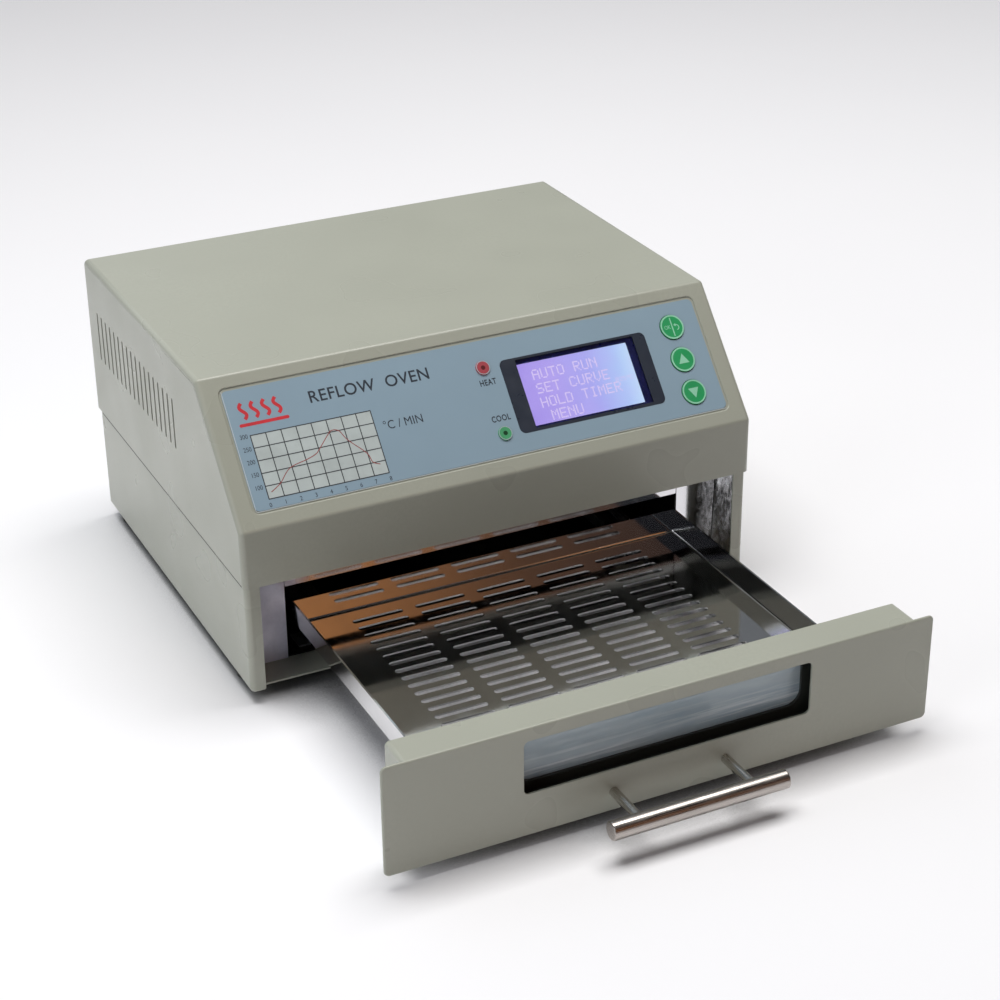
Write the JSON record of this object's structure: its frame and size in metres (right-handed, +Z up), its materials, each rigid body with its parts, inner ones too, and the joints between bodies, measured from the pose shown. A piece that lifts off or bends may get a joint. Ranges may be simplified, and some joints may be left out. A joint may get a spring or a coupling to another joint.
{
  "type": "reflow oven",
  "caption": "Bench-top infrared reflow oven: sheet-steel case with sloping display console, vented sides and a windowed drawer that carries a slotted tray on slides.",
  "frame": {"origin": "middle of the footprint with the drawer open, on the surface the feet stand on", "axes": "+X to the right seen from the front, +Y from the drawer towards the back, +Z up"},
  "size_m": [0.31, 0.4728, 0.17],
  "materials": {
    "enclosure_paint": "fine texture powder coat",
    "rear_paint": "fine texture powder coat",
    "foot_rubber": "matt",
    "zinc_screw": "bright zinc",
    "mirror_steel": "mirror polish",
    "bright_plate": "bright anodised",
    "crumpled_foil": "crumpled",
    "liner_steel": "heat-stained",
    "zinc_sheet": "galvanised",
    "ceramic_fibre": "felted",
    "quartz": "clear",
    "resistance_wire": "oxidised",
    "ceramic": "unglazed",
    "black_metal": "satin black",
    "window_glass": "clear",
    "handle_steel": "brushed",
    "overlay_blue": "printed polyester",
    "bezel_slate": "satin",
    "display_window": "clear",
    "display_cell": "backlit",
    "lamp_red": "translucent",
    "lamp_green": "translucent",
    "key_green": "printed",
    "circuit_board": "solder mask",
    "transformer_core": "varnished",
    "black_plastic": "moulded",
    "fuse_plastic": "moulded",
    "extruded_aluminium": "extruded",
    "wire_jacket": "smooth"
  },
  "bodies": {
    "housing": {"top_cover": "enclosure_paint", "base_shell": "enclosure_paint", "back_panel": "rear_paint", "rubber_feet": "foot_rubber", "foot_screws": "zinc_screw", "cover_screws": "zinc_screw", "fan_screws": "zinc_screw", "chamber_front_plate": "bright_plate", "chamber_liner": "liner_steel", "insulation_blanket": "ceramic_fibre", "chamber_case": "zinc_sheet", "side_foil_left": "crumpled_foil", "side_foil_right": "crumpled_foil", "heater_tubes": "quartz", "heater_coils": "resistance_wire", "heater_end_caps": "ceramic", "heater_brackets": "zinc_sheet", "reflector": "bright_plate", "thermocouples": "mirror_steel", "exhaust_duct": "zinc_sheet", "left_slide_outer": "zinc_sheet", "right_slide_outer": "zinc_sheet", "slide_brackets": "zinc_sheet", "overlay_panel": "overlay_blue", "lcd_bezel": "bezel_slate", "lcd_glass": "display_window", "lcd_module": "display_cell", "heat_led": "lamp_red", "cool_led": "lamp_green", "keypad_board": "circuit_board", "electronics_shelf": "zinc_sheet", "control_board": "circuit_board", "transformer": "transformer_core", "heat_sink": "extruded_aluminium", "terminal_block": "black_plastic", "wiring_harness": "wire_jacket", "exhaust_fan_frame": "black_plastic", "exhaust_fan_guard": "zinc_screw", "power_inlet": "black_plastic", "power_switch_housing": "black_plastic"},
    "drawer": {"drawer_front": "enclosure_paint", "window_frame": "black_metal", "window_glass": "window_glass", "glass_retainer": "zinc_sheet", "drawer_liner": "bright_plate", "tray": "mirror_steel", "tray_screws": "zinc_screw", "handle_bar": "handle_steel", "handle_posts": "handle_steel", "handle_screws": "zinc_screw", "left_slide_inner": "zinc_sheet", "right_slide_inner": "zinc_sheet"},
    "left_middle": {"left_slide_middle": "zinc_sheet"},
    "right_middle": {"right_slide_middle": "zinc_sheet"},
    "ok_key": {"button_ok": "key_green"},
    "up_key": {"button_up": "key_green"},
    "down_key": {"button_down": "key_green"},
    "rocker": {"power_switch_rocker": "fuse_plastic"},
    "fuse_holder": {"fuse_drawer": "fuse_plastic"},
    "fan_rotor": {"exhaust_fan_rotor": "black_plastic"}
  },
  "joints": [
    {"name": "drawer_slide", "type": "slide", "parent": "housing", "child": "drawer", "axis": [0, 1, 0], "range_m": [0, 0.179]},
    {"name": "left_middle_slide", "type": "slide", "parent": "housing", "child": "left_middle", "axis": [0, 1, 0], "range_m": [0, 0.0895]},
    {"name": "right_middle_slide", "type": "slide", "parent": "housing", "child": "right_middle", "axis": [0, 1, 0], "range_m": [0, 0.0895]},
    {"name": "ok_press", "type": "slide", "parent": "housing", "child": "ok_key", "axis": [0, 0.7479, -0.6638], "range_m": [0, 0.0005], "stiffness_N_per_m": 300},
    {"name": "up_press", "type": "slide", "parent": "housing", "child": "up_key", "axis": [0, 0.7479, -0.6638], "range_m": [0, 0.0005], "stiffness_N_per_m": 300},
    {"name": "down_press", "type": "slide", "parent": "housing", "child": "down_key", "axis": [0, 0.7479, -0.6638], "range_m": [0, 0.0005], "stiffness_N_per_m": 300},
    {"name": "rocker_tip", "type": "hinge", "parent": "housing", "child": "rocker", "pos_m": [-0.048, 0.2283, 0.057], "axis": [-1, 0, 0], "range_deg": [0, 18]},
    {"name": "fuse_pull", "type": "slide", "parent": "housing", "child": "fuse_holder", "axis": [0, 1, 0], "range_m": [0, 0.014]},
    {"name": "fan_spin", "type": "hinge", "parent": "housing", "child": "fan_rotor", "pos_m": [0.07, 0.2178, 0.055], "axis": [0, 1, 0], "continuous": true}
  ],
  "couplings": [
    {"joint": "left_middle_slide", "follows": "drawer_slide", "ratio": 0.5},
    {"joint": "right_middle_slide", "follows": "drawer_slide", "ratio": 0.5}
  ]
}
